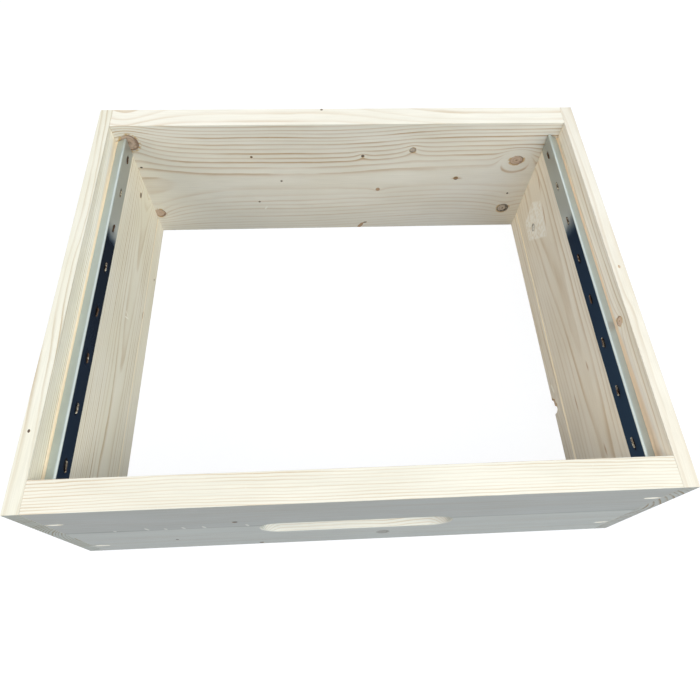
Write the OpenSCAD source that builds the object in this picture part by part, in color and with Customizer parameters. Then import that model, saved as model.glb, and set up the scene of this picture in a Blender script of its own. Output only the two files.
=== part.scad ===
// Honey super: the upper box of a ten-frame beehive, open at the top and at the bottom.
// Four spruce walls meet in rabbeted corners, closed with long staples.
// A folded steel rail along each side wall carries the lugs of the frames.
// X runs along the frames, Y across them, and Z is up, with 0 at the bottom edge.

/* [Box] */
// Outside length of the box, along the frames
box_len = 516; // [420:1:620]
// Outside width of the box, across the frames
box_wid = 424; // [300:1:520]
// Height of the box
box_h = 170; // [150:1:300]
// Thickness of the wall planks
wall_t = 25; // [20:0.5:35]

/* [Planks] */
// Height of the strip glued on under each side board
strip_h = 26; // [12:1:50]
// Arris eased off both planks where a side board meets its strip
joint_ease = 0.6; // [0.2:0.1:1.5]
// Height of the lower plank of the front board
front_low_h = 92; // [50:1:120]

/* [Frame rebate] */
// Width of the rebate that takes the frame lugs, and of the lap at the corners
rebate_w = 12; // [11.5:0.5:16]
// Depth of the rebate floor below the top edge
rebate_d = 21; // [19:0.5:25]

/* [Hand holds] */
// Length of a hand hold, end to end
grip_len = 168; // [90:1:220]
// Height of a hand hold
grip_h = 37; // [20:1:45]
// Depth that a hand hold is routed into the wall
grip_d = 12; // [6:0.5:14]
// Radius that the cutter leaves round the floor of a hand hold
grip_floor_r = 4; // [1:0.5:5]
// Height of a hand hold's centre line
grip_z = 80; // [50:1:110]

/* [Frame rails] */
// Thickness of the rail's sheet
sheet_t = 0.8; // [0.5:0.1:1.2]
// Outside radius of the rail's fold
fold_r = 1.6; // [1.3:0.1:2.2]
// Drop from the top edge of the box to the rail's crest
crest_drop = 16; // [14:0.5:17]
// Height of the rail's upright leg, from its crest
rail_leg = 22.5; // [18:0.5:30]
// Bare rebate floor left beside the rail's sloping leg
floor_gap = 3; // [1:0.5:5]
// Gap between each end of a rail and the wall beyond it
rail_end_gap = 1; // [0.3:0.1:3]

/* [Rail staples] */
// Staples along each rail
rail_staples = 8; // [3:1:12]
// Distance from a rail's end to the middle of its first staple
rail_staple_in = 18; // [8:1:30]
// Drop from the rail's crest to its staples
rail_staple_drop = 12.5; // [11:0.5:15]
// Width of a rail staple's crown
rail_crown = 9.5; // [6:0.5:13]
// Length of a rail staple, from the top of its crown to its points
rail_staple_len = 13; // [8:0.5:16]
// Thickness of the rail staples' wire
rail_wire = 1; // [0.7:0.1:1.4]

/* [Corner staples] */
// Width of a corner staple's crown
corner_crown = 10.6; // [8:0.2:10.8]
// Length of a corner staple, from the top of its crown to its points
corner_staple_len = 40; // [30:1:60]
// Thickness of the corner staples' wire
corner_wire = 1.5; // [1:0.1:1.8]
// Depth that the corner staples' crowns are sunk below the wood
corner_sink = 1.2; // [0.2:0.1:3]
// Height of the lower staple at each left corner
left_low_z = 29; // [8:1:45]
// Height of the lower staple at each right corner
right_low_z = 37; // [8:1:45]
// Drop from the rebate floor to the upper staple at each left corner
left_high_drop = 19; // [4:1:24]
// Drop from the rebate floor to the upper staple at each right corner
right_high_drop = 12; // [4:1:24]

/* [Fits] */
// Play round a staple's legs in the wood and in the sheet
staple_play = 0.05; // [0.02:0.01:0.15]

/* [Hidden] */
$fn = 48;

LEFT = -1;
RIGHT = 1;
FRONT = -1;
BACK = 1;
SPRUCE = [0.95, 0.91, 0.80];
SPRUCE_SHADE = [0.88, 0.83, 0.71];
GALVANISED = [0.70, 0.74, 0.74];
WIRE = [0.72, 0.58, 0.36];

// How far a cut runs past the face that it opens
past = 1;
// Wood left outside the rebate and outside the lap: the two line up along the top edge
rim_t = wall_t - rebate_w;
floor_z = box_h - rebate_d;
cross_len = box_len - 2 * rim_t;
inner_wid = box_wid - 2 * wall_t;
rail_len = inner_wid - 2 * rail_end_gap;
crest_z = box_h - crest_drop;
rail_staple_step = (rail_len - 2 * rail_staple_in) / (rail_staples - 1);

// Centre of the rail's fold, and the slope at which the outer leg comes down to the rebate floor
fold_x = wall_t + sheet_t - fold_r;
fold_z = crest_z - fold_r;
fold_in = fold_r - sheet_t;
reach = fold_x - rim_t - floor_gap;
fall = fold_z - floor_z;
slope_len = sqrt(reach * reach + fall * fall - fold_in * fold_in);
slope = atan2(reach, -fall) - atan2(slope_len, fold_in);
fold_steps = 14;

function low_z(side) = side == LEFT ? left_low_z : right_low_z;
function high_z(side) = floor_z - (side == LEFT ? left_high_drop : right_high_drop);

// Children are drawn on the left wall: x = 0 is its outer face and x = wall_t its inner one
module on_side(side) {
    mirror([side == RIGHT ? 1 : 0, 0, 0])
        translate([-box_len / 2, 0, 0])
            children();
}

// Children are drawn on the front wall: y = 0 is its outer face and +y goes into the wood
module on_end(end) {
    mirror([0, end == BACK ? 1 : 0, 0])
        translate([0, -box_wid / 2, 0])
            children();
}

// An outline in x and z, run along the whole width of the box
module along_y(length) {
    rotate([90, 0, 0])
        linear_extrude(height = length, center = true)
            children();
}

// Half of the router cutter's outline: radius across, depth up
module cutter_half() {
    r = grip_h / 2;
    translate([0, -past])
        square([r, past + grip_d - grip_floor_r]);
    square([r - grip_floor_r, grip_d]);
    translate([r - grip_floor_r, grip_d - grip_floor_r])
        circle(grip_floor_r);
}

// The pocket that the cutter leaves in a wall, from its outer face at y = 0 inwards
module hand_hold() {
    run = grip_len - grip_h;
    translate([0, 0, grip_z]) {
        for (x = [-run / 2, run / 2])
            translate([x, 0, 0])
                rotate([-90, 0, 0])
                    rotate_extrude()
                        cutter_half();
        rotate([90, 0, 90])
            linear_extrude(height = run, center = true)
                for (half = [0, 1])
                    mirror([0, half])
                        mirror([1, -1])
                            cutter_half();
    }
}

// A staple: crown along x with its outside at y = 0, and two chisel-pointed legs along +y
module staple(crown, length, wire) {
    bend = 1.5 * wire;
    linear_extrude(height = wire, center = true) {
        translate([-crown / 2 + bend, 0])
            square([crown - 2 * bend, wire]);
        for (half = [0, 1])
            mirror([half, 0]) {
                translate([crown / 2 - bend, bend])
                    intersection() {
                        difference() {
                            circle(bend);
                            circle(bend - wire);
                        }
                        translate([0, -bend])
                            square(bend);
                    }
                translate([crown / 2 - wire, bend])
                    polygon([[0, 0], [wire, 0], [wire, length - bend - wire], [0, length - bend]]);
            }
    }
}

// The holes that a staple's two legs make, and the slot that its crown is sunk in
module staple_hole(crown, length, wire, sink) {
    wide = wire + 2 * staple_play;
    for (x = [-1, 1])
        translate([x * (crown - wire) / 2 - wide / 2, 0, -wide / 2])
            cube([wide, length + staple_play, wide]);
    translate([-crown / 2 - staple_play, -sink - past, -wide / 2])
        cube([crown + 2 * staple_play, sink + past + wire, wide]);
}

// Children are drawn at each corner staple of one end of the box
module at_corner_staples(end) {
    on_end(end)
        for (side = [LEFT, RIGHT], z = [low_z(side), high_z(side)])
            translate([side * (cross_len / 2 - rebate_w / 2), corner_sink, z])
                children();
}

module corner_staple_holes() {
    for (end = [FRONT, BACK])
        at_corner_staples(end)
            staple_hole(corner_crown, corner_staple_len, corner_wire, corner_sink);
}

// Children are drawn at each staple of a rail, with the crown's inside on the sheet
module at_rail_staples(side) {
    on_side(side)
        for (i = [0 : rail_staples - 1])
            translate([wall_t + sheet_t + rail_wire,
                       -rail_len / 2 + rail_staple_in + i * rail_staple_step,
                       crest_z - rail_staple_drop])
                rotate(90)
                    children();
}

module rail_staple_holes(side) {
    at_rail_staples(side)
        staple_hole(rail_crown, rail_staple_len, rail_wire, 0);
}

// Rabbets at both ends of a side wall, where the front and back boards lap in
module end_rabbets() {
    for (end = [FRONT, BACK])
        on_end(end)
            translate([rim_t, -past, -past])
                cube([rebate_w + past, wall_t + past, box_h + 2 * past]);
}

// Upper plank of a side wall, with the frame rebate along its inner top edge
module side_board(side) {
    difference() {
        on_side(side)
            difference() {
                along_y(box_wid)
                    polygon([[0, strip_h], [wall_t - joint_ease, strip_h],
                             [wall_t, strip_h + joint_ease], [wall_t, floor_z],
                             [rim_t, floor_z], [rim_t, box_h], [0, box_h]]);
                end_rabbets();
                rotate(-90)
                    hand_hold();
            }
        corner_staple_holes();
        rail_staple_holes(side);
    }
}

// Strip glued on along the bottom of a side wall
module side_strip(side) {
    difference() {
        on_side(side)
            difference() {
                along_y(box_wid)
                    polygon([[0, 0], [wall_t, 0], [wall_t, strip_h - joint_ease],
                             [wall_t - joint_ease, strip_h], [0, strip_h]]);
                end_rabbets();
                rotate(-90)
                    hand_hold();
            }
        corner_staple_holes();
    }
}

// A plank of the front or back wall, from one height to another
module cross_plank(end, low, high) {
    difference() {
        on_end(end)
            difference() {
                translate([-cross_len / 2, 0, low])
                    cube([cross_len, wall_t, high - low]);
                hand_hold();
            }
        corner_staple_holes();
    }
}

// Points along an arc about the rail's fold, from one angle to another
function fold_arc(r, from, to) =
    [for (i = [0 : fold_steps]) r * [cos(from + (to - from) * i / fold_steps),
                                     sin(from + (to - from) * i / fold_steps)]];

// Steel rail, folded to a sharp roof: one leg lies on the wall, the other slopes to the rebate floor
module rail(side) {
    leg_end = fold_r - rail_leg;
    across = [-sin(slope), cos(slope)];
    down_slope = slope_len * [-cos(slope), -sin(slope)];
    difference() {
        on_side(side)
            along_y(rail_len)
                translate([fold_x, fold_z])
                    polygon(concat([[fold_in, leg_end], [fold_r, leg_end]],
                                   fold_arc(fold_r, 0, 90 + slope),
                                   [fold_r * across + down_slope, fold_in * across + down_slope],
                                   fold_arc(fold_in, 90 + slope, 0)));
        rail_staple_holes(side);
    }
}

module left_side_board() {
    color(SPRUCE) side_board(LEFT);
}

module left_side_strip() {
    color(SPRUCE_SHADE) side_strip(LEFT);
}

module right_side_board() {
    color(SPRUCE) side_board(RIGHT);
}

module right_side_strip() {
    color(SPRUCE_SHADE) side_strip(RIGHT);
}

module front_upper_plank() {
    color(SPRUCE) cross_plank(FRONT, front_low_h, box_h);
}

module front_lower_plank() {
    color(SPRUCE_SHADE) cross_plank(FRONT, 0, front_low_h);
}

module back_board() {
    color(SPRUCE) cross_plank(BACK, 0, box_h);
}

module left_rail() {
    color(GALVANISED) rail(LEFT);
}

module right_rail() {
    color(GALVANISED) rail(RIGHT);
}

module left_rail_staples() {
    color(WIRE)
        at_rail_staples(LEFT)
            staple(rail_crown, rail_staple_len, rail_wire);
}

module right_rail_staples() {
    color(WIRE)
        at_rail_staples(RIGHT)
            staple(rail_crown, rail_staple_len, rail_wire);
}

module front_corner_staples() {
    color(WIRE)
        at_corner_staples(FRONT)
            staple(corner_crown, corner_staple_len, corner_wire);
}

module back_corner_staples() {
    color(WIRE)
        at_corner_staples(BACK)
            staple(corner_crown, corner_staple_len, corner_wire);
}

left_side_board();
left_side_strip();
right_side_board();
right_side_strip();
front_upper_plank();
front_lower_plank();
back_board();
left_rail();
right_rail();
left_rail_staples();
right_rail_staples();
front_corner_staples();
back_corner_staples();
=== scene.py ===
import math
import random

import bmesh
import bpy
from mathutils import Matrix, Vector, noise


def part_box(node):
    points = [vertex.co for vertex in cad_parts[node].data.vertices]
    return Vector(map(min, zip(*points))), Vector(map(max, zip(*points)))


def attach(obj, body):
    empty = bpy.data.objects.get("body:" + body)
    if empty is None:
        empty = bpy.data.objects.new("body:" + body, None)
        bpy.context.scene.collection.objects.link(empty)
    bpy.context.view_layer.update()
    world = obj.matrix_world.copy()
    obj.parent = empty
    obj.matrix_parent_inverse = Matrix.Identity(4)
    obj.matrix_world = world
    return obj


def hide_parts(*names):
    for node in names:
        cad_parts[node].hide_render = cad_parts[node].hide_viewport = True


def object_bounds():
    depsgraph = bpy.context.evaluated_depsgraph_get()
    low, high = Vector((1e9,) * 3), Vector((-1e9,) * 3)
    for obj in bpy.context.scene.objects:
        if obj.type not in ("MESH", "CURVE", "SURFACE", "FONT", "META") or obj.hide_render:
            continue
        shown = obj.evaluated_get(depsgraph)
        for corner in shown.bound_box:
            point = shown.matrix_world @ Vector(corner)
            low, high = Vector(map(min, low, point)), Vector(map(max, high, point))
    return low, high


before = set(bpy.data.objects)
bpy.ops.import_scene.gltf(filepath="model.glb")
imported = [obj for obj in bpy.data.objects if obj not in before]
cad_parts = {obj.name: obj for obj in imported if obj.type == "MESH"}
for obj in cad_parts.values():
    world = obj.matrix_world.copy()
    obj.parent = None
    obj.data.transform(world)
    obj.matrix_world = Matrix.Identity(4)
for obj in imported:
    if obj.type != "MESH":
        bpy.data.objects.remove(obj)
cad_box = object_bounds()


# ---------------------------------------------------------------------------
# The viewer
# The box is seen from above and in front of its front wall, by a wide lens held
# about half a metre over it and tilted down into it.
# ---------------------------------------------------------------------------
lens = bpy.data.cameras.new("viewer")
lens.lens = 28.83
lens.sensor_width = 36
lens.shift_x = -0.0059
lens.shift_y = -0.0176
lens.clip_start = 0.02
viewer = bpy.data.objects.new("viewer", lens)
viewer.location = (-0.0228, -0.3041, 0.5884)
viewer.rotation_euler = [math.radians(turn) for turn in (28.771, -1.796, -2.717)]
bpy.context.scene.collection.objects.link(viewer)
bpy.context.scene.camera = viewer
bpy.context.scene.view_settings.view_transform = "Standard"


# ---------------------------------------------------------------------------
# The studio
# A pale painted floor under four large softboxes: a key lamp in front and above,
# one at each side and a weak one behind. A cool sky fills the shade.
# Metal sees the same white ground as the viewer does.
# ---------------------------------------------------------------------------
def linear(code):
    """The linear colour of an sRGB hex code, with its alpha."""
    shares = [int(code[place:place + 2], 16) / 255 for place in (0, 2, 4)]
    return [s / 12.92 if s <= 0.04045 else ((s + 0.055) / 1.055) ** 2.4 for s in shares] + [1]


def add(tree, kind, sockets, **settings):
    """Adds one shader node with its settings, and sets or links its sockets."""
    made = tree.nodes.new("ShaderNode" + kind)
    for name, value in settings.items():
        setattr(made, name, value)
    ready = [socket for socket in made.inputs if socket.enabled]
    for place, value in sockets.items():
        target = ready[place] if isinstance(place, int) else next(s for s in ready if s.name == place)
        if isinstance(value, bpy.types.Node):
            value = next(socket for socket in value.outputs if socket.enabled)
        if isinstance(value, bpy.types.NodeSocket):
            tree.links.new(value, target)
        else:
            target.default_value = value
    return made


def seen_directly(tree):
    """1 for the viewer's own rays and for what metal and glass show, 0 for light on its way to a surface."""
    path = add(tree, "LightPath", {})
    mirrored = add(tree, "Math", {0: path.outputs["Is Glossy Ray"],
                                  1: path.outputs["Is Transmission Ray"]}, operation="MAXIMUM")
    return add(tree, "Math", {0: path.outputs["Is Camera Ray"], 1: mirrored}, operation="MAXIMUM")


def blank_tree(owner):
    """The owner's node tree, switched on and emptied."""
    owner.use_nodes = True
    owner.node_tree.nodes.clear()
    return owner.node_tree


sky = bpy.data.worlds.new("cool_sky")
bpy.context.scene.world = sky
tree = blank_tree(sky)
light = add(tree, "Background", {"Color": linear("A5D0FF"), "Strength": 0.335})
white = add(tree, "Background", {"Color": (1, 1, 1, 1), "Strength": 1})
view = add(tree, "MixShader", {0: seen_directly(tree), 1: light, 2: white})
add(tree, "OutputWorld", {"Surface": view})

painted_floor = bpy.data.materials.new("matt_white_floor_paint")
tree = blank_tree(painted_floor)
paint = add(tree, "BsdfDiffuse", {"Color": linear("6B6F76")})
glow = add(tree, "Emission", {"Color": (1, 1, 1, 1), "Strength": add(
    tree, "Math", {0: seen_directly(tree), 1: 0.9}, operation="MULTIPLY")})
add(tree, "OutputMaterial", {"Surface": add(tree, "AddShader", {0: paint, 1: glow})})

floor_mesh = bpy.data.meshes.new("floor")
work = bmesh.new()
bmesh.ops.create_grid(work, x_segments=2, y_segments=2, size=12, matrix=Matrix.Translation((0, 0, -0.0002)))
work.to_mesh(floor_mesh)
work.free()
floor_mesh.materials.append(painted_floor)
floor = bpy.data.objects.new("floor", floor_mesh)
bpy.context.scene.collection.objects.link(floor)

# Each lamp: its power, its colour and where it hangs
for name, watts, colour, spot in (("key", 22, "F4FBFF", (0.7, -1.0, 2.1)),
                                  ("right", 33, "FFF6D9", (1.9, -0.6, 1.5)),
                                  ("left", 31.5, "FFEFCF", (-1.9, -0.6, 1.5)),
                                  ("rear", 19, "FFF6EA", (-0.4, 2.2, 0.8))):
    lamp = bpy.data.lights.new(f"{name}_softbox", "AREA")
    lamp.shape = "DISK"
    lamp.size = 1.6
    lamp.energy = watts
    lamp.color = linear(colour)[:3]
    lamp_stand = bpy.data.objects.new(f"{name}_softbox", lamp)
    lamp_stand.location = spot
    lamp_stand.rotation_euler = (-lamp_stand.location).to_track_quat("-Z", "Y").to_euler()
    bpy.context.scene.collection.objects.link(lamp_stand)


# ---------------------------------------------------------------------------
# Side walls
# Each is a planed spruce board with a strip glued on under it. The board is
# rebated along its inner top edge for the frames, and both are rabbeted at the
# ends, where the front and back walls lap in.
# ---------------------------------------------------------------------------
MM = 0.001
ARRIS = 0.5 * MM
SEAM_DEPTH, SEAM_HEIGHT = 2 * MM, 3 * MM
X_GRAIN, Y_GRAIN = 0, 1
outer = cad_box[1]
lap_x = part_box("back_board")[1].x
rebate_floor = outer.z - 21 * MM


def block(work, low, high):
    """Adds a box between two corners to a bmesh."""
    low, high = Vector(low), Vector(high)
    place = Matrix.Translation((low + high) / 2) @ Matrix.Diagonal((*(high - low), 1))
    return bmesh.ops.create_cube(work, size=1, matrix=place)["verts"]


def ease(work, edges, width, segments=3):
    """Rounds off edges by a width, as a pass of fine sandpaper does."""
    bmesh.ops.bevel(work, geom=edges, offset=width, offset_type="OFFSET", segments=segments,
                    profile=0.5, affect="EDGES", clamp_overlap=False, material=-1)


def sharp_edges(work):
    """Edges where two faces meet at a real angle."""
    return [edge for edge in work.edges if edge.calc_face_angle(0) > 0.5]


def stand(work, name):
    """Puts a bmesh into the scene as an object at the origin."""
    mesh = bpy.data.meshes.new(name)
    bmesh.ops.recalc_face_normals(work, faces=work.faces[:])
    work.to_mesh(mesh)
    work.free()
    made = bpy.data.objects.new(name, mesh)
    bpy.context.scene.collection.objects.link(made)
    return made


def soften(piece):
    """Smooth shading over the small faces of eased edges, with the big faces kept flat."""
    piece.modifiers.clear()
    piece.data.shade_smooth()
    piece.data.set_sharp_from_angle(angle=math.radians(32))
    modifier = piece.modifiers.new("flat_faces_stay_flat", "WEIGHTED_NORMAL")
    modifier.keep_sharp = True
    modifier.weight = 100


def cut(piece, tools):
    """Takes the tools' shapes out of the piece, and removes the tools."""
    for tool in tools:
        modifier = piece.modifiers.new("cut", "BOOLEAN")
        modifier.operation = "DIFFERENCE"
        modifier.solver = "EXACT"
        modifier.object = tool
    piece.data = bpy.data.meshes.new_from_object(piece.evaluated_get(bpy.context.evaluated_depsgraph_get()))
    for tool in tools:
        bpy.data.objects.remove(tool)


def finish_piece(piece, material, nodes):
    """Gives a piece its material and shading, and its place in the frame."""
    piece.data.materials.clear()
    piece.data.materials.append(material)
    soften(piece)
    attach(piece, "root")
    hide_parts(*nodes)


def spruce(name, grain, board):
    """Planed spruce: pale early wood and thin tan late wood, in rings about the board's pith.
    A knot pushes the rings outwards round it. All places are in the board's own axes:
    along the grain, through the thickness, and up, in millimetres."""
    material = bpy.data.materials.new(name)
    tree = blank_tree(material)

    def math_node(operation, *values):
        """A Math node of one operation, for the sums below."""
        return add(tree, "Math", dict(enumerate(values)), operation=operation)

    def ramp(value, low, high, at_low=0.0, at_high=1.0):
        """A smooth change from one value to another, between two limits."""
        return add(tree, "MapRange", {"Value": value, "From Min": low, "From Max": high, "To Min": at_low,
                                      "To Max": at_high}, interpolation_type="SMOOTHSTEP")

    def mist(vector, size, detail=1):
        """Soft noise between 0 and 1, with spots of three sizes in millimetres."""
        scaled = add(tree, "VectorMath", {0: vector, 1: [1 / side for side in size]}, operation="MULTIPLY")
        return add(tree, "TexNoise", {"Vector": scaled, "Scale": 1, "Detail": detail})

    def tinted(colour, factor, tint):
        """A colour with another one laid over it."""
        return add(tree, "Mix", {"Factor": factor, "A": colour, "B": linear(tint)}, data_type="RGBA",
                   clamp_factor=True)

    place = add(tree, "TexCoord", {})
    axes = add(tree, "VectorMath", {0: place.outputs["Object"], 1: (1000, 1000, 1000)}, operation="MULTIPLY")
    axes = add(tree, "SeparateXYZ", {0: axes})
    along, through, up = axes.outputs[grain], axes.outputs[1 - grain], axes.outputs[2]
    straight = add(tree, "CombineXYZ", {0: along, 1: through, 2: up})

    # Slow waves in the grain, some 200 mm long, and small ones of a few millimetres
    slow = mist(straight, (210, 55, 55)).outputs["Color"]
    small = mist(straight, (28, 9, 9), 2).outputs["Color"]
    near = add(tree, "VectorMath", {0: small, 1: (0.5, 0.9, 0.9), 2: straight}, operation="MULTIPLY_ADD")
    near = add(tree, "VectorMath", {0: near, 1: (0.25, 0.45, 0.45)}, operation="SUBTRACT")
    swing = board["wave"]
    wavy = add(tree, "VectorMath", {0: slow, 1: (0, swing, swing), 2: near}, operation="MULTIPLY_ADD")
    wavy = add(tree, "VectorMath", {0: wavy, 1: (0, swing / 2, swing / 2)}, operation="SUBTRACT")

    # Distance from the pith, which drifts a little along the board
    start, end, rise, sink = board["drift"]
    pith = add(tree, "VectorMath", {0: ramp(along, start, end), 1: (0, sink, rise), 2: (0, *board["pith"])},
               operation="MULTIPLY_ADD")
    outward = add(tree, "VectorMath", {0: wavy, 1: pith}, operation="SUBTRACT")
    outward = add(tree, "VectorMath", {0: outward, 1: (0, 1, 1)}, operation="MULTIPLY")
    radius = add(tree, "VectorMath", {0: outward}, operation="LENGTH").outputs["Value"]

    # Knots, as the distance from each one's heart in units of its own size
    nearest = {}
    quiet = 1.0
    for tone, centre, size, stretch, lean, swell, reach, shape, calm in board["knots"]:
        depth = 9 + 2 * size if centre[2] < 165 else size
        local = add(tree, "Mapping", {"Vector": near, "Location": centre, "Rotation": (0, math.radians(lean), 0),
                                      "Scale": (size * stretch, depth, size)}, vector_type="TEXTURE")
        away = add(tree, "VectorMath", {0: local}, operation="LENGTH").outputs["Value"]
        offset = add(tree, "VectorMath", {0: local, 1: (0.17, 0, -0.09)}, operation="ADD")
        offset = add(tree, "VectorMath", {0: offset}, operation="LENGTH").outputs["Value"]
        if swell:
            fall = math_node("POWER", math_node("MULTIPLY", away, size / reach), shape)
            radius = math_node("MULTIPLY_ADD", math_node("POWER", math.exp(-1), fall), -swell, radius)
        if calm:
            quiet = math_node("MULTIPLY", quiet, ramp(away, calm / size, 1.45 * calm / size, 0.05, 1))
        others = nearest.get(tone, (9, 9))
        nearest[tone] = math_node("MINIMUM", away, others[0]), math_node("MINIMUM", offset, others[1])

    # Growth rings: each year's wood darkens outwards and ends in a thin hard line
    years = math_node("MULTIPLY_ADD", radius, 1 / board["ring"], board["first"])
    weather = add(tree, "TexNoise", {"W": years, "Scale": 0.31, "Detail": 1}, noise_dimensions="1D")
    years = math_node("MULTIPLY_ADD", weather.outputs["Fac"], board.get("uneven", 0.9), years)
    season = math_node("FRACT", years)
    growing = math_node("POWER", ramp(season, 0.28, 0.86), 2.2)
    late = math_node("MULTIPLY", growing, ramp(season, 0.86, 1.0, 1, 0))
    chance = add(tree, "TexWhiteNoise", {"W": math_node("FLOOR", years)}, noise_dimensions="1D")
    late = math_node("MULTIPLY", late, ramp(chance.outputs["Value"], 0, 1, 0.45, 1))
    late = math_node("MULTIPLY", late, ramp(mist(straight, (110, 30, 10)), 0.3, 0.7, 0.45, 1.2))
    late = math_node("MULTIPLY", late, quiet)
    low, high, faint, strong = board["bold"]
    late = math_node("MULTIPLY", late, ramp(up, low, high, faint, strong))
    if "young" in board:
        late = math_node("MULTIPLY", late, ramp(radius, *board["young"]))

    # Cut across, the rings stand out; on the top edge, planed along, they nearly vanish
    normal = add(tree, "SeparateXYZ", {0: place.outputs["Normal"]})
    end_grain = ramp(math_node("ABSOLUTE", normal.outputs[grain]), 0.75, 0.95)
    late = math_node("MULTIPLY", late, math_node("MULTIPLY_ADD", end_grain, 1.0, 1))
    late = math_node("MULTIPLY", late, ramp(normal.outputs[2], 0.8, 0.95, 1, board["edge"]))

    # Fibres 0.6 mm wide and 40 mm long, wide clouds, and raised fibres that lie aslant
    fibre = mist(wavy, (40, 0.6, 0.6), 3).outputs["Fac"]
    cloud = mist(straight, (90, 30, 30), 2).outputs["Fac"]
    aslant = add(tree, "Mapping", {"Vector": straight, "Rotation": (0, math.radians(38), 0)})
    fuzz = mist(aslant, (7, 1.1, 1.1), 2).outputs["Fac"]

    early_wood = add(tree, "Mix", {"Factor": ramp(cloud, 0.3, 0.7), "A": linear(board["early"][0]),
                                   "B": linear(board["early"][1])}, data_type="RGBA")
    wood = tinted(early_wood, late, board["late"])
    wood = tinted(wood, ramp(fuzz, 0.62, 0.78, 0, 0.30), "FBF7EA")
    wood = add(tree, "VectorMath", {0: wood, 1: ramp(fibre, 0.25, 0.75, 0.945, 1.03)}, operation="MULTIPLY")
    # End grain is tinted a cool grey: partly the darker tone of cut fibres, partly painted cool shade
    end_grain_tone_and_shade = tinted((1, 1, 1, 1), end_grain, "E4EAEE")
    wood = add(tree, "VectorMath", {0: wood, 1: end_grain_tone_and_shade}, operation="MULTIPLY")

    # Painted shade: the outer faces are tinted a cool grey, more on the upper front plank than on the lower, for the
    # shade on the front wall
    if "outside" in board:
        outside = ramp(math_node("MULTIPLY", normal.outputs[1 - grain], board["outside"][0]), 0.8, 0.95)
        grey = tinted((1, 1, 1, 1), outside, board["outside"][1])
        wood = add(tree, "VectorMath", {0: wood, 1: grey}, operation="MULTIPLY")

    # Painted highlight: the strip's chamfer is tinted pale, as the bright line where it catches the light
    if "chamfer_painted_highlight" in board:
        inner = ramp(math_node("ABSOLUTE", through), 236, 238, 0.9, 0)
        wood = tinted(wood, math_node("MULTIPLY", ramp(up, board["chamfer_painted_highlight"] - 0.3, board["chamfer_painted_highlight"]), inner), "FFF3DC")

    # Painted light: the rebate's floor is tinted warm and bright, lighter than the lamps light it there
    if "warm_painted_light" in board:
        flat = math_node("MULTIPLY", ramp(normal.outputs[2], 0.8, 0.95), ramp(up, 150, 160, 1, 0))
        wood = tinted(wood, math_node("MULTIPLY", flat, ramp(up, 135, 145, 0, 0.9)), board["warm_painted_light"])

    # A glue line, where two planks meet: the glue seals the wood, and it darkens a little
    if "glue" in board:
        apart = math_node("ABSOLUTE", math_node("SUBTRACT", up, board["glue"]))
        wood = tinted(wood, math_node("MULTIPLY", ramp(apart, 0.4, 3.5, 1, 0), ramp(cloud, 0.3, 0.7, 0.2, 0.65)),
                      "A3A49C")

    # A patch where filler was rubbed into torn grain and planed off, inside a ring of corners
    if "patch" in board:
        ragged = mist(straight, (4, 4, 4), 3).outputs["Fac"]
        depth = math_node("MULTIPLY_ADD", ragged, 9, -2)
        corners = board["patch"]
        for (a1, u1), (a2, u2) in zip(corners, corners[1:] + corners[:1]):
            size = math.hypot(a2 - a1, u2 - u1)
            inward = ((u2 - u1) / size, 0, (a1 - a2) / size)
            level = a1 * inward[0] + u1 * inward[2]
            side = add(tree, "VectorMath", {0: straight, 1: inward}, operation="DOT_PRODUCT").outputs["Value"]
            depth = math_node("MINIMUM", depth, math_node("SUBTRACT", side, level))
        wood = tinted(wood, math_node("MULTIPLY", ramp(depth, 0, 3.5), ramp(ragged, 0.3, 0.7, 0.5, 0.95)), "FBFAF6")

    # Each kind of mark: its body, the dark bark round it, how well it covers the wood, from where it
    # thins out and from where its bark begins. A branch grew at a slant, so its bark shows wider on one side.
    # The bark is broken round its edge, and resin has yellowed the wood beside it.
    marks = {"brown": ("D3B9A3", "7A5640", 0.93, 0.88, 0.74), "dark": ("50392B", "2A1D16", 0.95, 0.85, 0.74),
             "amber": ("B58A5C", "8A5E3A", 0.85, 0.8, 0.6), "ringed": ("CDBDAC", "33261E", 0.97, 0.9, 0.56),
             "grey": ("BDB7AE", "6F6961", 0.8, 0.7, 0.6), "pale": ("FFFCF2", "FFFCF2", 0.9, 0.6, 0.7),
             "stain": ("B8936C", "9A7450", 0.75, 0.1, 0.7), "silver": ("E6E4DF", "4C4844", 0.95, 0.9, 0.56)}
    broken = mist(straight, (5, 5, 5), 2).outputs["Fac"]
    relief = late
    for tone, (away, offset) in nearest.items():
        body, bark, cover, soft, inner = marks[tone]
        if tone in ("brown", "dark", "ringed"):
            resin = math_node("MULTIPLY", ramp(away, 1.02, 1.3, 0.85, 0), ramp(broken, 0.46, 0.56))
            wood = tinted(wood, resin, "CDA75E")
        rings = math_node("SINE", math_node("MULTIPLY_ADD", broken, 9, math_node("MULTIPLY", away, 17)))
        edge = math_node("MULTIPLY", ramp(offset, inner, inner + 0.2), ramp(broken, 0.42, 0.60, 1, 0.45))
        edge = math_node("MULTIPLY_ADD", rings, 0.30, edge)
        edge = math_node("ADD", edge, ramp(away, 0.06, 0.18, 0.6, 0))
        colour = tinted(linear(body), edge, bark)
        inside = ramp(away, soft, 1.06, cover, 0)
        wood = add(tree, "Mix", {"Factor": inside, "A": wood, "B": colour}, data_type="RGBA")
        relief = math_node("MULTIPLY_ADD", inside, 0.6, relief)

    height = math_node("ADD", math_node("MULTIPLY_ADD", fibre, 0.8, relief), ramp(fuzz, 0.55, 0.8, 0, 0.8))
    bump = add(tree, "Bump", {"Height": height, "Strength": 0.35, "Distance": 0.12 * MM})
    surface = add(tree, "BsdfPrincipled", {"Base Color": wood, "Roughness": ramp(fibre, 0, 1, 0.52, 0.70),
                                           "Normal": bump, "IOR": 1.45, "Specular IOR Level": 0.35})
    add(tree, "OutputMaterial", {"Surface": surface})
    return material


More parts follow.
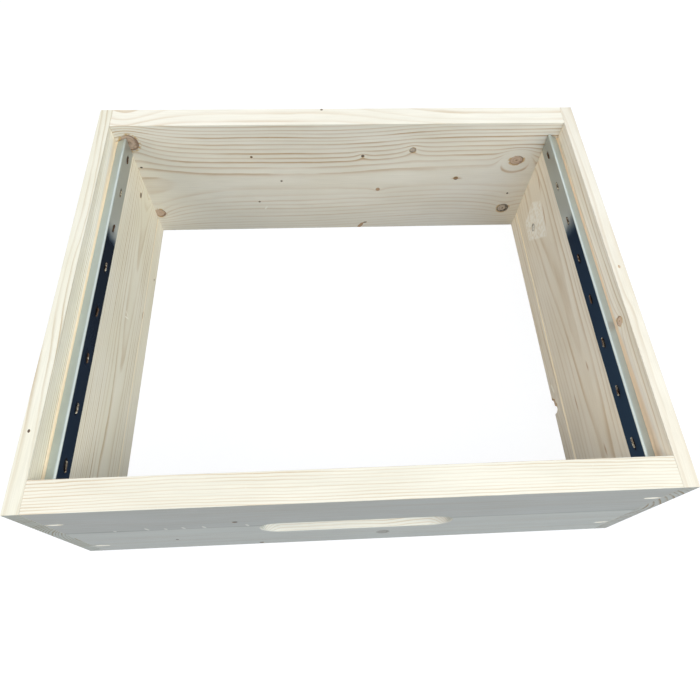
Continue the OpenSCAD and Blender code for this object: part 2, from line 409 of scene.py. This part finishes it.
def side_piece(name, node, side):
    """A board or strip of a side wall: a 13 mm outer skin with a thicker middle between the rabbets.
    The strip's inner top edge is chamfered, so its seam with the board shows as a fine bright line."""
    low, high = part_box(node)
    inner_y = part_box("left_rail")[1].y + 1 * MM
    top = min(high.z, rebate_floor)
    work = bmesh.new()
    skin_x = side * lap_x
    far_x = side * outer.x
    block(work, (min(skin_x, far_x), low.y, low.z), (max(skin_x, far_x), high.y, high.z))
    for point, normal in (((0, -inner_y, 0), (0, 1, 0)), ((0, inner_y, 0), (0, 1, 0)),
                          ((0, 0, top), (0, 0, 1))):
        bmesh.ops.bisect_plane(work, geom=work.verts[:] + work.edges[:] + work.faces[:],
                               plane_co=point, plane_no=normal, dist=1e-7)
    middle = []
    for face in work.faces:
        spot = face.calc_center_median()
        if abs(spot.x - skin_x) < 1e-6 and abs(spot.y) < inner_y and spot.z < top:
            middle.append(face)
    thicker = bmesh.ops.extrude_face_region(work, geom=middle)["geom"]
    bmesh.ops.translate(work, vec=(-side * 12 * MM, 0, 0),
                        verts=[part for part in thicker if isinstance(part, bmesh.types.BMVert)])
    bmesh.ops.remove_doubles(work, verts=work.verts[:], dist=1e-6)
    bmesh.ops.recalc_face_normals(work, faces=work.faces[:])
    if high.z < rebate_floor:
        bmesh.ops.bisect_plane(work, geom=work.verts[:] + work.edges[:] + work.faces[:],
                               plane_co=(0, 0, high.z - SEAM_HEIGHT), plane_no=(0, 0, 1), dist=1e-7)
        for vert in work.verts:
            if abs(abs(vert.co.x) - abs(skin_x) + 12 * MM) < 1e-6 and vert.co.z > high.z - 1e-6:
                vert.co.x += side * SEAM_DEPTH
    ease(work, sharp_edges(work), ARRIS)
    return stand(work, name)


HOLD_LENGTH, HOLD_HEIGHT, HOLD_DEPTH = 168 * MM, 37 * MM, 12 * MM
HOLD_FLOOR_RADIUS, HOLD_LIP, HOLD_Z = 4 * MM, 0.7 * MM, 80 * MM


def hand_hold_tool(turn, wall_distance):
    """The router's sweep for a hand hold: round ends, a round-cornered floor and an eased lip."""
    work = bmesh.new()
    reach = 5 * MM
    block(work, (-HOLD_LENGTH / 2, -reach, -HOLD_HEIGHT / 2),
          (HOLD_LENGTH / 2, HOLD_DEPTH, HOLD_HEIGHT / 2))
    ends = [edge for edge in work.edges if abs(edge.verts[0].co.y - edge.verts[1].co.y) > reach]
    ease(work, ends, HOLD_HEIGHT / 2 - 0.05 * MM, segments=14)
    floor_edges = [edge for edge in work.edges
                   if all(abs(v.co.y - HOLD_DEPTH) < 1e-6 for v in edge.verts)]
    ease(work, floor_edges, HOLD_FLOOR_RADIUS, segments=5)
    bmesh.ops.bisect_plane(work, geom=work.verts[:] + work.edges[:] + work.faces[:],
                           plane_co=(0, HOLD_LIP, 0), plane_no=(0, 1, 0), dist=1e-7)
    straight = HOLD_LENGTH / 2 - HOLD_HEIGHT / 2
    for vert in work.verts:
        if vert.co.y < HOLD_LIP - 1e-6:
            middle = Vector((max(-straight, min(straight, vert.co.x)), vert.co.y, 0))
            vert.co += (vert.co - middle).normalized() * (HOLD_LIP - vert.co.y)
    bmesh.ops.transform(work, verts=work.verts[:], matrix=Matrix.Rotation(turn, 4, "Z")
                        @ Matrix.Translation((0, -wall_distance, HOLD_Z)))
    return stand(work, "router_sweep")


def torn_tool(centre, size, seed, wander=0.25):
    """A ragged lump, for wood that has broken out."""
    draw = random.Random(seed)
    work = bmesh.new()
    bmesh.ops.create_icosphere(work, subdivisions=2, radius=1)
    for vert in work.verts:
        vert.co *= 1 + draw.uniform(-wander, wander)
        vert.co = Vector(centre) + Vector([part * half for part, half in zip(vert.co, size)])
    return stand(work, "broken_out")


# Marks: kind, place, half height, length to height, lean in degrees; then how far it swells
# the rings, over what reach and how abruptly, and within what distance the rings fade
left_board = {
    # Warm painted light on the rebate's floor
    "warm_painted_light": "FFEBCB",
    "pith": (-193, 65), "drift": (-187, 187, 2, -5), "ring": 2.7, "first": 0.1, "wave": 8,
    "bold": (60, 110, 0.75, 0.9), "edge": 0.8, "young": (36, 44, 0.7, 1.0),
    "early": ("F1EDE1", "ECE7D7"), "late": "BFA987",
    "knots": [
        ("dark", (165, -233, 89.5), 2.4, 1.5, 0, 4, 10, 1, 0),
        ("amber", (40, -233, 26), 2.3, 2.6, 0, 2, 6, 1, 0),
        ("dark", (-149, -252, 170), 1.0, 1.5, 0, 0, 1, 1, 0),
        ("brown", (196, -233, 66), 6.0, 1.0, 0, 9, 22, 1, 0),
        ("dark", (103, -233, 7), 0.9, 1.6, 0, 0, 1, 1, 0),
        ("pale", (11, -233, 70), 1.0, 6.5, 74, 0, 1, 1, 0),
        ("pale", (15, -233, 71), 0.8, 7.0, 108, 0, 1, 1, 0),
    ],
}
left_strip = dict(left_board, chamfer_painted_highlight=23.2, pith=(-200, 90), ring=4.2, bold=(0, 26, 0.4, 0.4), wave=6,
                  drift=(-187, 187, 6, 3), young=(36, 44, 1.0, 1.0))
right_board = {
    # Warm painted light on the rebate's floor
    "warm_painted_light": "FFE6C6",
    "pith": (189, 90), "drift": (-187, 187, -2, 6), "ring": 5.0, "first": 1.26, "wave": 12,
    "bold": (40, 75, 0.3, 0.6), "edge": 0.8, "young": (39, 45, 0.75, 1.0),
    "early": ("F1EBE0", "EAE2D4"), "late": "BCA17C",
    "knots": [
        ("silver", (131, 233, 61), 4.8, 1.0, 0, 7, 20, 1, 0),
        ("stain", (-157, 233, 91), 2.0, 4.0, 4, 0, 1, 1, 0),
        ("stain", (-75, 233, 99), 1.8, 4.0, 2, 0, 1, 1, 0),
        ("stain", (-97, 233, 57), 1.6, 8, 2, 0, 1, 1, 0),
        ("stain", (120, 233, 95), 1.8, 11, -10, 0, 1, 1, 0),
        ("stain", (163, 233, 104), 1.8, 10, -14, 0, 1, 1, 0),
        ("brown", (-57, 245, 155), 4.8, 1.0, 0, 7, 9, 1, 0),
        ("brown", (-7, 252, 170), 1.0, 1.6, 0, 1, 4, 1, 0),
    ],
    "patch": [(93, 90), (143, 97), (160, 76), (155, 42), (125, 40)],
}
right_strip = dict(right_board, chamfer_painted_highlight=23.2, pith=(170, 60), ring=4.4, bold=(0, 26, 0.4, 0.5), wave=6,
                   knots=[("brown", (-77, 233, 4), 5, 1.6, 35, 7, 12, 1, 0),
                          ("pale", (-60, 233, 9), 2.5, 3.2, 25, 0, 1, 1, 0)])

for side, hand, board, strip in ((-1, "left", left_board, left_strip), (1, "right", right_board, right_strip)):
    for part, facts in (("board", board), ("strip", strip)):
        node = f"{hand}_side_{part}"
        piece = side_piece(f"spruce_{node}", node, side)
        tools = [hand_hold_tool(side * math.pi / 2, outer.x)]
        if node == "right_side_strip":
            tools.append(torn_tool((234 * MM, -83 * MM, 0), (7 * MM, 4.5 * MM, 10 * MM), 4, 0.15))
            tools.append(torn_tool((234 * MM, -77 * MM, 0), (6 * MM, 6 * MM, 5 * MM), 5, 0.15))
        cut(piece, tools)
        finish_piece(piece, spruce(f"planed_spruce_{node}", Y_GRAIN, facts), [node])


# ---------------------------------------------------------------------------
# Front and back walls
# The front wall is two planks edge-glued at mid height, the back wall one wide
# board full of knots. They lap into the side walls' rabbets, flush outside.
# ---------------------------------------------------------------------------
CORNER_X = lap_x - 6 * MM
CORNER_HEIGHTS = {-1: (29 * MM, 130 * MM), 1: (37 * MM, 137 * MM)}


def cross_piece(name, node):
    """A plank of the front or back wall, with its outer edges eased. The joint between planks stays flush."""
    low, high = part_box(node)
    work = bmesh.new()
    block(work, low, high)
    joint = [z for z in (low.z, high.z) if 1 * MM < z < outer.z - 1 * MM]
    eased = [edge for edge in sharp_edges(work)
             if not any(all(abs(v.co.z - z) < 1e-6 for v in edge.verts) for z in joint)]
    ease(work, eased, ARRIS)
    return stand(work, name)


def staple_holes(node, end):
    """Where the gun sank a crown, the fibres are torn out in a ragged slot."""
    low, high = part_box(node)
    holes = []
    for side in (-1, 1):
        for z in CORNER_HEIGHTS[side]:
            if low.z < z < high.z:
                holes.append(torn_tool((side * (CORNER_X - 2 * MM), end * outer.y, z), (7.6 * MM, 2.6 * MM, 2.4 * MM),
                                       round(z / MM) + side, 0.22))
    return holes


torn = {(side, z): ("pale", (side * (CORNER_X / MM - 2), -outer.y / MM, z / MM), 2.8, 2.9, 0, 0, 1, 1, 0)
        for side in (-1, 1) for z in CORNER_HEIGHTS[side]}
front_upper = {
    "pith": (-120, 60), "drift": (-250, 250, 3, 3), "ring": 1.5, "first": 0.2, "wave": 3.5,
    "bold": (90, 170, 0.5, 0.7), "edge": 0.95, "early": ("F3EEE2", "ECE7DA"), "late": "C7A983", "glue": 92,
    # The outer-face tint is painted shade, darker on this upper plank than on the lower
    "outside": (-1, "E4E9F0"), "uneven": 0.35,
    "knots": [("dark", (-101, -212, 112), 2.3, 1.0, 0, 3, 8, 1, 0)]
    + [("pale", (x, -212, z), 1.6, reach * 0.7, 84, 0, 1, 1, 0)
       for x, z, reach in ((-203, 94, 2), (-176, 97, 5), (-161, 95, 3), (-146, 96, 4), (-129, 96, 5), (-93, 97, 5))]
    + [torn[-1, CORNER_HEIGHTS[-1][1]], torn[1, CORNER_HEIGHTS[1][1]]],
}
# The lower plank's outer face gets a lighter painted shade than the upper plank's
front_lower = dict(front_upper, pith=(-130, 170), ring=1.8, wave=9, bold=(0, 90, 0.6, 0.5), early=("F4F2EA", "EFEDE6"), outside=(-1, "F2F5F6"),
                   knots=[
    ("dark", (-164, -212, 43), 1.5, 1.0, 0, 1, 5, 1, 0),
    ("dark", (-91, -212, 7), 2.3, 1.0, 0, 2, 7, 1, 0),
    ("grey", (26, -212, 37), 9.0, 0.75, 0, 8, 14, 1, 0),
    ("pale", (-80, -212, 96), 1.6, 4, 8, 0, 1, 1, 0),
    torn[-1, CORNER_HEIGHTS[-1][0]], torn[1, CORNER_HEIGHTS[1][0]],
])
back = {
    "pith": (234, 83.5), "drift": (-40, 150, 9, 0), "ring": 4.3, "first": 0.108, "wave": 5,
    "bold": (91, 98, 0.34, 0.92), "edge": 0.6, "young": (44, 50, 0.9, 1.0),
    "early": ("F8F3E8", "F2ECDF"), "late": "C2A075",
    "knots": [
        ("brown", (-231, 187, 147), 11, 0.9, 0, 18, 26, 1, 0),
        ("brown", (-228, 187, 34), 7.0, 1.0, 0, 15, 24, 1, 0),
        ("brown", (207, 187, 116), 7.0, 1.2, 0, 20, 12.5, 2, 13.5),
        ("ringed", (212, 187, 34), 7.6, 1.0, 0, 10, 20, 1, 0),
        ("ringed", (82, 187, 133), 3.8, 1.0, 0, 7, 8, 1, 0),
        ("dark", (-229, 187, 111), 1.2, 1.3, 0, 0, 1, 1, 0),
        ("dark", (-102, 187, 125), 1.4, 1.0, 0, 0, 1, 1, 0),
        ("dark", (-71, 187, 87), 1.3, 1.0, 0, 0, 1, 1, 0),
        ("dark", (-101, 187, 52), 1.3, 1.0, 0, 0, 1, 1, 0),
        ("dark", (25, 187, 125), 2.0, 1.0, 0, 4, 5, 1, 0),
        ("amber", (46, 187, 71), 2.8, 1.0, 0, 3, 9, 1, 0),
        ("dark", (140, 187, 88), 2.6, 1.1, 0, 2, 6, 1, 0),
        ("stain", (141, 187, 88), 2.2, 4.0, 0, 0, 1, 1, 0),
        ("dark", (211, 187, 61), 1.4, 1.0, 0, 2, 5, 1, 0),
        ("amber", (27, 187, 4), 2.4, 2.9, -56, 0, 1, 1, 0),
        ("dark", (33, 187, 10), 1.0, 2.4, -12, 0, 1, 1, 0),
        ("pale", (-94, 187, 41), 1.3, 2.8, -60, 0, 1, 1, 0),
        ("dark", (-21, 210, 170), 1.2, 1.2, 0, 0, 1, 1, 0),
    ],
}

for node, board, end in (("front_upper_plank", front_upper, -1), ("front_lower_plank", front_lower, -1),
                         ("back_board", back, 1)):
    piece = cross_piece(f"spruce_{node}", node)
    cut(piece, [hand_hold_tool(0 if end < 0 else math.pi, outer.y), *staple_holes(node, end)])
    finish_piece(piece, spruce(f"planed_spruce_{node}", X_GRAIN, board), [node])


# ---------------------------------------------------------------------------
# Corner staples
# Resin-coated galvanised wire, shot through the front and back walls into the
# side walls. The gun sinks each crown and tears the fibres round it.
# ---------------------------------------------------------------------------
CORNER_CROWN, CORNER_LEG, CORNER_WIRE, CORNER_SINK = 10.6 * MM, 40 * MM, 1.5 * MM, 1.2 * MM


def wire_staple(crown, leg, wire):
    """One staple: its crown along x with the outside at y = 0, and two legs along +y."""
    work = bmesh.new()
    block(work, (-crown / 2, 0, -wire / 2), (crown / 2, wire, wire / 2))
    for x in (wire - crown / 2, crown / 2 - wire):
        bmesh.ops.bisect_plane(work, geom=work.verts[:] + work.edges[:] + work.faces[:],
                               plane_co=(x, 0, 0), plane_no=(1, 0, 0), dist=1e-7)
    feet = [face for face in work.faces if face.normal.y > 0.9
            and abs(face.calc_center_median().x) > crown / 2 - wire]
    for foot in feet:
        grown = bmesh.ops.extrude_face_region(work, geom=[foot])["geom"]
        points = [part for part in grown if isinstance(part, bmesh.types.BMVert)]
        bmesh.ops.translate(work, verts=points, vec=(0, leg - wire, 0))
        for vert in points:
            vert.co.y -= wire if abs(vert.co.x) > crown / 2 - wire / 2 else 0
    bends = [edge for edge in work.edges
             if all(v.co.y < 1e-6 and abs(v.co.x) > crown / 2 - 1e-6 for v in edge.verts)]
    ease(work, bends, 1.2 * wire, segments=5)
    ease(work, sharp_edges(work), 0.16 * wire)
    return work


def add_copy(group, part, place):
    """Adds a small bmesh to a group's bmesh, at a place."""
    copy = bpy.data.meshes.new("copy")
    part.to_mesh(copy)
    copy.transform(place)
    group.from_mesh(copy)
    bpy.data.meshes.remove(copy)


def coated_wire():
    """Galvanised wire under amber resin: bright where it rubbed on the gun, brown where it has rusted."""
    material = bpy.data.materials.new("resin_coated_wire")
    tree = blank_tree(material)
    place = add(tree, "TexCoord", {})
    spots = add(tree, "TexNoise", {"Vector": place.outputs["Object"], "Scale": 1 / (2.2 * MM), "Detail": 3})
    each = add(tree, "NewGeometry", {})
    mixed = add(tree, "Math", {0: each.outputs["Random Per Island"], 1: 0.35, 2: spots.outputs["Fac"]},
                operation="MULTIPLY_ADD")
    dark_patch = add(tree, "MapRange", {"Value": mixed, "From Min": 0.50, "From Max": 0.66},
               interpolation_type="SMOOTHSTEP")
    colour = add(tree, "Mix", {"Factor": dark_patch, "A": linear("F2E8CE"), "B": linear("57402E")},
                 data_type="RGBA")
    rough = add(tree, "MapRange", {"Value": dark_patch, "To Min": 0.3, "To Max": 0.75})
    metal = add(tree, "MapRange", {"Value": dark_patch, "To Min": 0.9, "To Max": 0.25})
    bump = add(tree, "Bump", {"Height": spots.outputs["Fac"], "Strength": 0.3, "Distance": 0.1 * MM})
    surface = add(tree, "BsdfPrincipled", {"Base Color": colour, "Roughness": rough, "Metallic": metal,
                                           "Normal": bump})
    add(tree, "OutputMaterial", {"Surface": surface})
    return material


wire_finish = coated_wire()
one = wire_staple(CORNER_CROWN, CORNER_LEG, CORNER_WIRE)
for end, node in ((-1, "front_corner_staples"), (1, "back_corner_staples")):
    group = bmesh.new()
    draw = random.Random(11 + end)
    for side in (-1, 1):
        for z in CORNER_HEIGHTS[side]:
            lean = Matrix.Rotation(math.radians(draw.uniform(-3, 3)), 4, "Y")
            face = Matrix.Identity(4) if end < 0 else Matrix.Rotation(math.pi, 4, "Z")
            add_copy(group, one, Matrix.Translation((side * CORNER_X, end * (outer.y - CORNER_SINK), z))
                     @ face @ lean)
    piece = stand(group, f"wire_{node}")
    finish_piece(piece, wire_finish, [node])
one.free()


# ---------------------------------------------------------------------------
# Frame rails
# Galvanised sheet steel 0.8 mm thick, folded to a sharp roof. The upright leg
# lies on the side wall and the other slopes down to the rebate's floor.
# ---------------------------------------------------------------------------
SHEET, FOLD, FLOOR_GAP = 0.8 * MM, 1.6 * MM, 3 * MM
RAIL_STAPLES, STAPLE_IN, STAPLE_DROP = 8, 18 * MM, 12.5 * MM
rail_low, rail_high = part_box("right_rail")
staple_z = rail_high.z - STAPLE_DROP
staple_step = (rail_high.y - rail_low.y - 2 * STAPLE_IN) / (RAIL_STAPLES - 1)
staple_ys = [rail_low.y + STAPLE_IN + i * staple_step for i in range(RAIL_STAPLES)]


def folded_rail(name, side):
    """The sheet's outer face, folded and drawn out along the wall, dented under its staples."""
    fold = Vector((rail_low.x + FOLD, rail_low.y, rail_high.z - FOLD))
    run, fall, inside = lap_x - FLOOR_GAP - fold.x, fold.z - rebate_floor, FOLD - SHEET
    slope_length = math.sqrt(run * run + fall * fall - inside * inside)
    slope = math.atan2(fall, run) + math.atan2(inside, slope_length)

    # The section: up the leg, over the fold and down the slope
    work = bmesh.new()
    tip = bmesh.ops.create_vert(work, co=(rail_low.x, rail_low.y, rail_low.z))["vert"][0]
    for step in range(14):
        tip = bmesh.ops.extrude_vert_indiv(work, verts=[tip])["verts"][0]
        tip.co.z += (fold.z - rail_low.z) / 14
    tip = bmesh.ops.spin(work, geom=[tip], cent=fold, axis=(0, 1, 0), dvec=(0, 0, 0),
                         angle=math.pi / 2 + slope, steps=12, use_merge=False)["geom_last"][0]
    tip = bmesh.ops.extrude_vert_indiv(work, verts=[tip])["verts"][0]
    tip.co += slope_length * Vector((math.cos(slope), 0, -math.sin(slope)))

    # Drawn out along the wall in steps of 2 mm
    steps = round((rail_high.y - rail_low.y) / (2 * MM))
    bmesh.ops.spin(work, geom=work.verts[:] + work.edges[:], cent=(0, 0, 0), axis=(0, 1, 0), angle=0,
                   dvec=(0, (rail_high.y - rail_low.y) / steps, 0), steps=steps, use_merge=False)

    # Each staple pulls the leg in, and between them its lower edge springs off the wall
    for vert in work.verts:
        if vert.co.z < fold.z:
            pull = sum(math.exp(-((vert.co.y - y) / (6 * MM)) ** 2 - ((vert.co.z - staple_z) / (3 * MM)) ** 2)
                       for y in staple_ys)
            spring = noise.noise(Vector((side, vert.co.y * 22, 0))) * (fold.z - vert.co.z) / (fold.z - rail_low.z)
            vert.co.x += 0.28 * MM * pull - 0.35 * MM * max(0, spring)
    bmesh.ops.recalc_face_normals(work, faces=work.faces[:])
    bmesh.ops.solidify(work, geom=work.faces[:], thickness=SHEET)
    bmesh.ops.scale(work, verts=work.verts[:], vec=(side, 1, 1))
    return stand(work, name)


def galvanised_sheet():
    """Cold-rolled sheet, hot-dip galvanised: fine lines from the rolls under a thin grey zinc skin.
    The upright legs carry a painted reflection: slate for their front two thirds, as bare zinc shows of a dark
    ground, and grey behind. Each staple has a dark ragged ring round it on the leg."""
    material = bpy.data.materials.new("galvanised_steel_sheet")
    tree = blank_tree(material)
    place = add(tree, "TexCoord", {})
    axes = add(tree, "SeparateXYZ", {0: place.outputs["Object"]})
    along, up = axes.outputs[1], axes.outputs[2]
    facing = add(tree, "SeparateXYZ", {0: place.outputs["Normal"]})
    upright = add(tree, "MapRange", {"Value": facing.outputs[2], "From Min": 0.1, "From Max": 0.5, "To Min": 1,
                                     "To Max": 0}, interpolation_type="SMOOTHSTEP")
    cloud = add(tree, "TexNoise", {"Vector": place.outputs["Object"], "Scale": 1 / (14 * MM), "Detail": 4})
    # Painted reflection: along the upright leg the reflected tone turns from slate to grey, at a ragged line towards
    # the back
    edge = add(tree, "Math", {0: cloud.outputs["Fac"], 1: 16 * MM, 2: along}, operation="MULTIPLY_ADD")
    bright = add(tree, "MapRange", {"Value": edge, "From Min": 62 * MM, "From Max": 88 * MM},
                 interpolation_type="SMOOTHSTEP")
    rolled_place = add(tree, "VectorMath", {0: place.outputs["Object"], 1: (1 / (0.5 * MM), 1 / (60 * MM),
                                                                             1 / (0.5 * MM))},
                       operation="MULTIPLY")
    rolled = add(tree, "TexNoise", {"Vector": rolled_place, "Scale": 1, "Detail": 2})

    # Painted reflection: slate on the upright legs, as bare zinc shows of a dark ground, and grey behind it
    painted_reflection_tone = add(tree, "Mix", {"Factor": bright, "A": linear("394653"), "B": linear("B0B5B2")},
                data_type="RGBA")
    zinc = add(tree, "Mix", {"Factor": cloud.outputs["Fac"], "A": linear("C2CCCA"), "B": linear("D0DAD8")},
               data_type="RGBA")
    metal = add(tree, "Mix", {"Factor": upright, "A": zinc, "B": painted_reflection_tone}, data_type="RGBA")

    # A dark ragged ring round each staple on the upright leg
    nearest = add(tree, "Math", {0: along, 1: staple_ys[0] - staple_step / 2,
                                 2: staple_ys[0] + staple_step / 2}, operation="WRAP")
    beside = add(tree, "Math", {0: nearest, 1: staple_ys[0]}, operation="SUBTRACT")
    above = add(tree, "Math", {0: up, 1: staple_z}, operation="SUBTRACT")
    near = add(tree, "CombineXYZ", {0: beside, 1: above})
    near = add(tree, "VectorMath", {0: near, 1: (1 / (7 * MM), 1 / (2.6 * MM), 1)}, operation="MULTIPLY")
    near = add(tree, "VectorMath", {0: near}, operation="LENGTH")
    ragged = add(tree, "TexNoise", {"Vector": place.outputs["Object"], "Scale": 1 / (2.5 * MM), "Detail": 3})
    near = add(tree, "Math", {0: ragged.outputs["Fac"], 1: 0.7, 2: near.outputs["Value"]},
               operation="MULTIPLY_ADD")
    dark_patch = add(tree, "MapRange", {"Value": near, "From Min": 0.9, "From Max": 1.35, "To Min": 0.85, "To Max": 0},
               interpolation_type="SMOOTHSTEP")
    dark_patch = add(tree, "Math", {0: dark_patch, 1: upright}, operation="MULTIPLY")
    metal = add(tree, "Mix", {"Factor": dark_patch, "A": metal, "B": linear("3A2A20")}, data_type="RGBA")

    rough = add(tree, "MapRange", {"Value": rolled.outputs["Fac"], "To Min": 0.26, "To Max": 0.42})
    bump = add(tree, "Bump", {"Height": rolled.outputs["Fac"], "Strength": 0.12, "Distance": 0.05 * MM})
    # Painted reflection: on the slate part the specular tint is dark, so the pale floor doesn't brighten its grazing
    # reflection
    outside_painted_dark_reflection = add(tree, "Math", {0: 1, 1: upright}, operation="SUBTRACT")
    outside_painted_dark_reflection = add(tree, "Math", {0: outside_painted_dark_reflection, 1: bright}, operation="MAXIMUM")
    shine = add(tree, "MapRange", {"Value": outside_painted_dark_reflection, "To Min": 0.92, "To Max": 0.6})
    reflection_edge_tint = add(tree, "Mix", {"Factor": outside_painted_dark_reflection, "A": linear("4A5864"), "B": linear("FFFFFF")}, data_type="RGBA")
    surface = add(tree, "BsdfPrincipled", {"Base Color": metal, "Roughness": rough, "Metallic": shine,
                                           "Normal": bump, "Specular Tint": reflection_edge_tint})
    add(tree, "OutputMaterial", {"Surface": surface})
    return material


sheet_finish = galvanised_sheet()
for side, hand in ((-1, "left"), (1, "right")):
    rail = folded_rail(f"folded_{hand}_rail", side)
    finish_piece(rail, sheet_finish, [f"{hand}_rail"])


# ---------------------------------------------------------------------------
# Rail staples
# Eight to a rail, of the same coated wire but finer, each shot through the sheet
# by hand: none sits quite straight, and their crowns are bright in some spots and rusted brown in others.
# ---------------------------------------------------------------------------
RAIL_CROWN, RAIL_LEG, RAIL_WIRE = 9.5 * MM, 13 * MM, 1 * MM

one = wire_staple(RAIL_CROWN, RAIL_LEG, RAIL_WIRE)
for side, hand in ((-1, "left"), (1, "right")):
    group = bmesh.new()
    draw = random.Random(5 + side)
    for y in staple_ys:
        spot = Vector((side * (rail_low.x - RAIL_WIRE + draw.uniform(0, 0.25) * MM),
                       y + draw.uniform(-2, 2) * MM, staple_z + draw.uniform(-1.2, 0.8) * MM))
        lean = Matrix.Rotation(math.radians(draw.uniform(-9, 9)), 4, "Y")
        add_copy(group, one, Matrix.Translation(spot) @ Matrix.Rotation(-side * math.pi / 2, 4, "Z") @ lean)
    piece = stand(group, f"wire_{hand}_rail_staples")
    finish_piece(piece, wire_finish, [f"{hand}_rail_staples"])
one.free()
